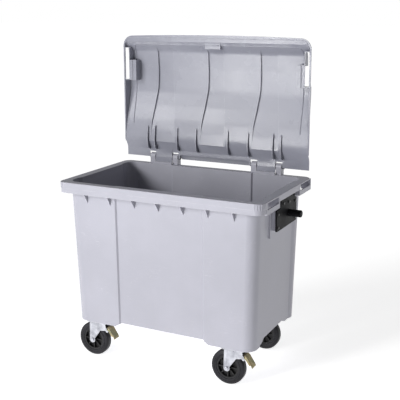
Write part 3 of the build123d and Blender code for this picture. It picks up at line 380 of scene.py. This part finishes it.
def apply_modifiers(piece):
    """Turns the piece's modifiers into its own mesh."""
    seen = bpy.context.evaluated_depsgraph_get()
    made = piece.evaluated_get(seen)
    mesh = bpy.data.meshes.new_from_object(made, preserve_all_data_layers=True, depsgraph=seen)
    piece.modifiers.clear()
    piece.data = mesh


# How far each kind of node is rounded, in metres.
ROUNDINGS = {
    "tub": 0.0012,
    "lid": 0.0010,
    "trunnion_plate": 0.0012,
    "trunnion_pin": 0.0010,
    "trunnion_screws": 0.0006,
    "hinge_pin": 0.0012,
    "hinge_cap": 0.0012,
    "castor_plate": 0.0007,
    "castor_bolts": 0.0007,
    "fork": 0.0008,
    "axle": 0.0006,
    "brake_pedal": 0.0007,
    "brake_shoe": 0.0008,
    "wheel_hub": 0.0010,
}


def finish_nodes():
    """Every CAD node gets its finish, and those with sharp corners a rounded twin."""
    for node, made in frame["nodes"].items():
        made.data.materials.clear()
        made.data.materials.append(FINISHES[SLOT_OF[node]])
        kinds = [kind for kind in ROUNDINGS if node.startswith(kind)]
        if kinds:
            width = ROUNDINGS[max(kinds, key=len)]
            rounded_twin(node, "_rounded", width, curved=node == "lid")


finish_nodes()


# ---- steps moulded into the lid's inside ------------------------------------------------------
CORNER_STEPS = 8
SIDE_STEPS = 60
EDGE_SPACING = 0.012  # between the path's points along the far edge


def step_path(inset, foot, corner):
    """Open path up one side, along the far edge and down the other, as (x, z) inside the lid."""
    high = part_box("lid")[1]
    half = high[0] - inset
    top = high[2] - inset
    shoulder = top - corner
    inner = half - corner
    turns = [radians(90 * step / CORNER_STEPS) for step in range(1, CORNER_STEPS)]
    sides = [(shoulder - foot) * step / SIDE_STEPS for step in range(SIDE_STEPS + 1)]
    count = int(2 * inner / EDGE_SPACING)
    path = [(-half, foot + rise) for rise in sides]
    path += [(-inner - corner * cos(turn), shoulder + corner * sin(turn)) for turn in turns]
    path += [(-inner + 2 * inner * step / count, top) for step in range(count + 1)]
    path += [(inner + corner * sin(turn), shoulder + corner * cos(turn)) for turn in turns]
    path += [(half, shoulder - fall) for fall in sides]
    return path


def moulded_step(name, inset, foot, corner, radius):
    """Bead that follows the lid's inner face along a step_path, half sunk in it."""
    lid = frame["nodes"]["lid"]
    work = bmesh.new()
    work.from_mesh(lid.data)
    surface = BVHTree.FromBMesh(work)
    work.free()
    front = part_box("lid")[0][1] - 0.05
    points = []
    for x, z in step_path(inset, foot, corner):
        hit = surface.ray_cast(Vector((x, front, z)), Vector((0, 1, 0)))[0]
        if hit is not None:
            points.append(hit)
    curve = bpy.data.curves.new(name, "CURVE")
    curve.dimensions = "3D"
    curve.bevel_depth = radius
    curve.bevel_resolution = 3
    curve.use_fill_caps = True
    spline = curve.splines.new("POLY")
    spline.points.add(len(points) - 1)
    for place, point in zip(spline.points, points):
        place.co = (*point, 1.0)
    piece = bpy.data.objects.new(name, curve)
    bpy.context.scene.collection.objects.link(piece)
    mesh = bpy.data.meshes.new_from_object(piece)
    bpy.data.objects.remove(piece)
    mesh.shade_smooth()
    mesh.materials.append(FINISHES["lid_plastic"])
    piece = bpy.data.objects.new(name, mesh)
    bpy.context.scene.collection.objects.link(piece)
    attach(piece, "lid")


moulded_step("lid_panel_step", 0.060, 1.30, 0.035, 0.0035)
moulded_step("lid_lip_step", 0.020, 1.32, 0.035, 0.0018)


# ---- surroundings ----------------------------------------------------------------------------
def make_floor():
    """Plain pale floor, which glows a little so that it reads as white."""
    bpy.ops.mesh.primitive_plane_add(size=160.0, location=(0, 0, -0.001))
    floor = bpy.context.object
    floor.name = "studio_floor"
    finish, tree, shader = blank_finish("pale_floor", 0.0, 0.0, 0.1)
    place = add_node(tree, "TexCoord").outputs["Object"]
    soft = add_node(tree, "TexNoise", Vector=place, Scale=1.5, Detail=4.0)
    colour = mix_colour(tree, soft.outputs[0], (0.88, 0.88, 0.88, 1), (0.91, 0.91, 0.91, 1))
    tree.links.new(colour, shader.inputs["Base Color"])
    shader.inputs["Roughness"].default_value = 0.9
    shader.inputs["Emission Color"].default_value = (1, 1, 1, 1)
    shader.inputs["Emission Strength"].default_value = 0.75
    floor.data.materials.append(finish)


def aim(made, target):
    made.rotation_euler = (Vector(target) - made.location).to_track_quat("-Z", "Y").to_euler()


def soft_box(name, location, target, size, power):
    """Large area light aimed at a point of the container."""
    light = bpy.data.lights.new(name, "AREA")
    light.shape = "RECTANGLE"
    light.size, light.size_y = size
    light.energy = power
    lamp = bpy.data.objects.new(name, light)
    lamp.location = location
    bpy.context.scene.collection.objects.link(lamp)
    aim(lamp, target)


def light_studio():
    """White surroundings that light the container only faintly, a soft sun and a tall soft box."""
    world = bpy.data.worlds.new("white_studio")
    bpy.context.scene.world = world
    world.use_nodes = True
    tree = world.node_tree
    ray = tree.nodes.new("ShaderNodeLightPath")
    glossy = math_node(tree, "MULTIPLY", ray.outputs["Is Glossy Ray"], 0.3)
    seen = math_node(tree, "MAXIMUM", ray.outputs["Is Camera Ray"], glossy)
    strength = add_node(tree, "MapRange", Value=seen)
    strength.inputs["To Min"].default_value = 0.14
    strength.inputs["To Max"].default_value = 1.0
    tree.links.new(strength.outputs[0], tree.nodes["Background"].inputs[1])
    tree.nodes["Background"].inputs[0].default_value = (1, 1, 1, 1)
    sun = bpy.data.lights.new("soft_sun", "SUN")
    sun.energy = 1.35
    sun.angle = radians(22)
    lamp = bpy.data.objects.new("soft_sun", sun)
    lamp.location = (-3.2, -4.6, 3.4)
    bpy.context.scene.collection.objects.link(lamp)
    aim(lamp, (0, 0, 0.8))
    soft_box("lid_soft_box", (-2.0, -5.0, 1.35), (0.2, 0.3, 1.4), (0.6, 2.3), 120)
    bpy.context.scene.view_settings.view_transform = "Standard"


def set_camera():
    """Camera at the front right, a little above the open lid, looking down by 12 degrees."""
    lens = bpy.data.cameras.new("view")
    lens.lens = 69.84
    lens.sensor_width = 36.0
    lens.shift_x = -0.0838
    lens.shift_y = -0.0581
    camera = bpy.data.objects.new("view", lens)
    camera.location = (2.0959, -3.8253, 2.0112)
    camera.rotation_euler = (radians(90 - 12.265), 0.0, radians(25.276))
    bpy.context.scene.collection.objects.link(camera)
    bpy.context.scene.camera = camera


make_floor()
light_studio()
set_camera()
